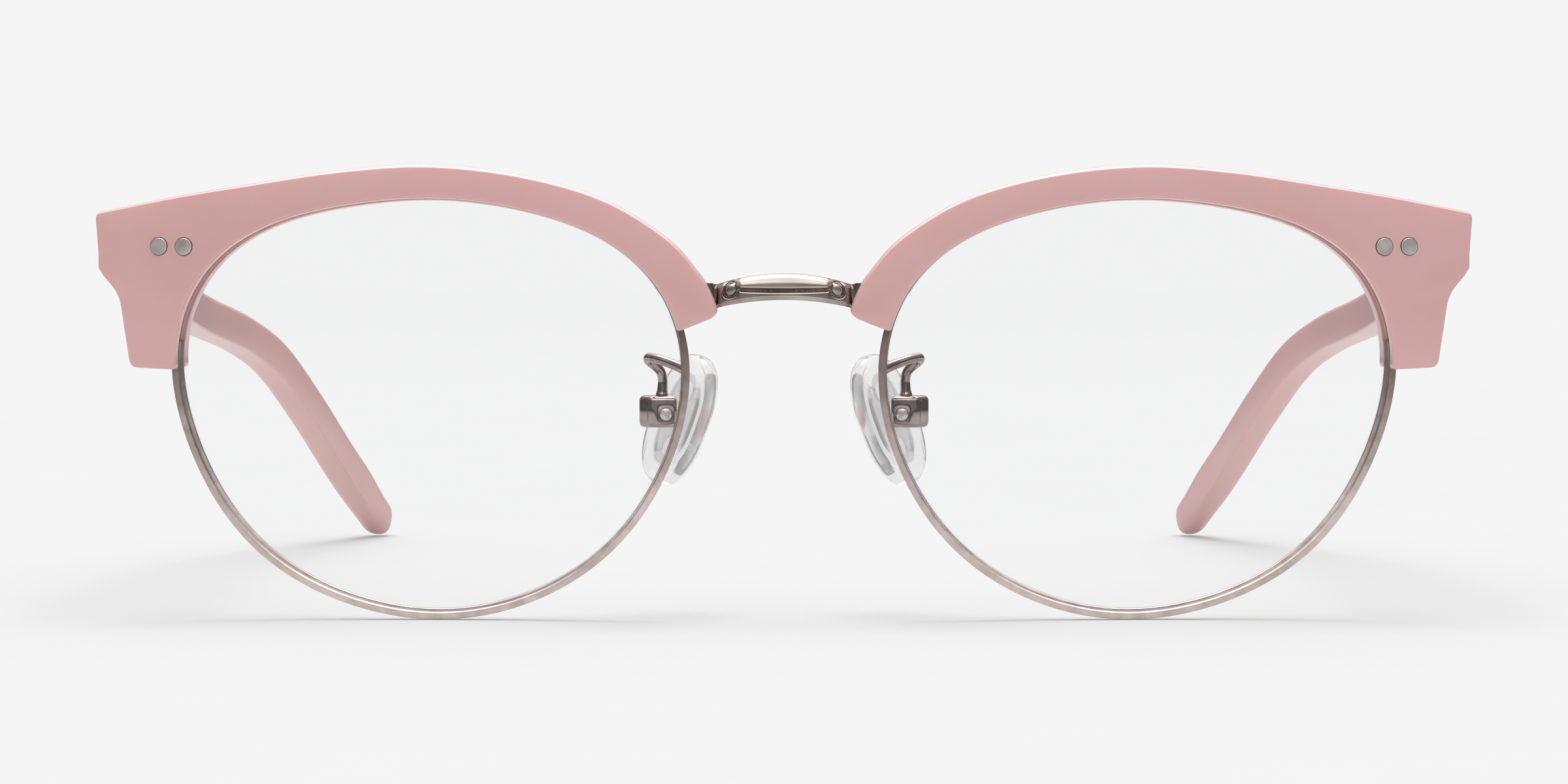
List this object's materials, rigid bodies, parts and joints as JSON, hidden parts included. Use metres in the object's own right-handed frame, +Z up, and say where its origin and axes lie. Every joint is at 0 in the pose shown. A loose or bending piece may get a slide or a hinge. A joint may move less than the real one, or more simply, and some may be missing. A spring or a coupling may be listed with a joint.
{
  "type": "browline eyeglasses",
  "caption": "Browline eyeglasses with acetate brows over half-wire rims, round lenses, metal bridge, silicone nose pads and folding temples.",
  "frame": {"origin": "middle of the bottom of the glasses' bounding box, on the surface that the rims and temple tips stand on, temples open", "axes": "-Y is the front, +Y points back along the temples, +X is the wearer's left, +Z is up"},
  "size_m": [0.1384, 0.1453, 0.0457],
  "materials": {
    "acetate": "polished opaque pink acetate",
    "frame_metal": "brushed antique silver plating",
    "screw_steel": "satin",
    "lens": "clear polished",
    "silicone": "clear soft silicone",
    "pad_core": "clear hard plastic"
  },
  "bodies": {
    "front": {"bridge": "frame_metal", "brow_left": "acetate", "eyewire_left": "frame_metal", "lens_left": "lens", "rim_screw_nasal_left": "screw_steel", "rim_screw_temporal_left": "screw_steel", "hinge_front_left": "frame_metal", "hinge_screw_left": "screw_steel", "rivet_outer_left": "screw_steel", "rivet_inner_left": "screw_steel", "pad_arm_left": "frame_metal", "pad_box_left": "frame_metal", "pad_screw_left": "screw_steel", "brow_right": "acetate", "eyewire_right": "frame_metal", "lens_right": "lens", "rim_screw_nasal_right": "screw_steel", "rim_screw_temporal_right": "screw_steel", "hinge_front_right": "frame_metal", "hinge_screw_right": "screw_steel", "rivet_outer_right": "screw_steel", "rivet_inner_right": "screw_steel", "pad_arm_right": "frame_metal", "pad_box_right": "frame_metal", "pad_screw_right": "screw_steel"},
    "temple_left": {"temple_left": "acetate", "temple_core_left": "screw_steel", "hinge_temple_left": "frame_metal", "temple_rivet_front_left": "screw_steel", "temple_rivet_rear_left": "screw_steel"},
    "nose_pad_left": {"nose_pad_left": "silicone", "pad_insert_left": "pad_core"},
    "temple_right": {"temple_right": "acetate", "temple_core_right": "screw_steel", "hinge_temple_right": "frame_metal", "temple_rivet_front_right": "screw_steel", "temple_rivet_rear_right": "screw_steel"},
    "nose_pad_right": {"nose_pad_right": "silicone", "pad_insert_right": "pad_core"}
  },
  "joints": [
    {"name": "temple_fold_left", "type": "hinge", "parent": "front", "child": "temple_left", "pos_m": [0.0639, -0.0623, 0.0374], "axis": [0, 0, 1], "range_deg": [0, 76]},
    {"name": "temple_fold_right", "type": "hinge", "parent": "front", "child": "temple_right", "pos_m": [-0.0639, -0.0623, 0.0374], "axis": [0, 0, -1], "range_deg": [0, 84]},
    {"name": "nose_pad_rock_left", "type": "hinge", "parent": "front", "child": "nose_pad_left", "pos_m": [0.0119, -0.0636, 0.02045], "axis": [0, 1, 0], "range_deg": [-8, 8]},
    {"name": "nose_pad_rock_right", "type": "hinge", "parent": "front", "child": "nose_pad_right", "pos_m": [-0.0119, -0.0636, 0.02045], "axis": [0, -1, 0], "range_deg": [-8, 8]}
  ]
}
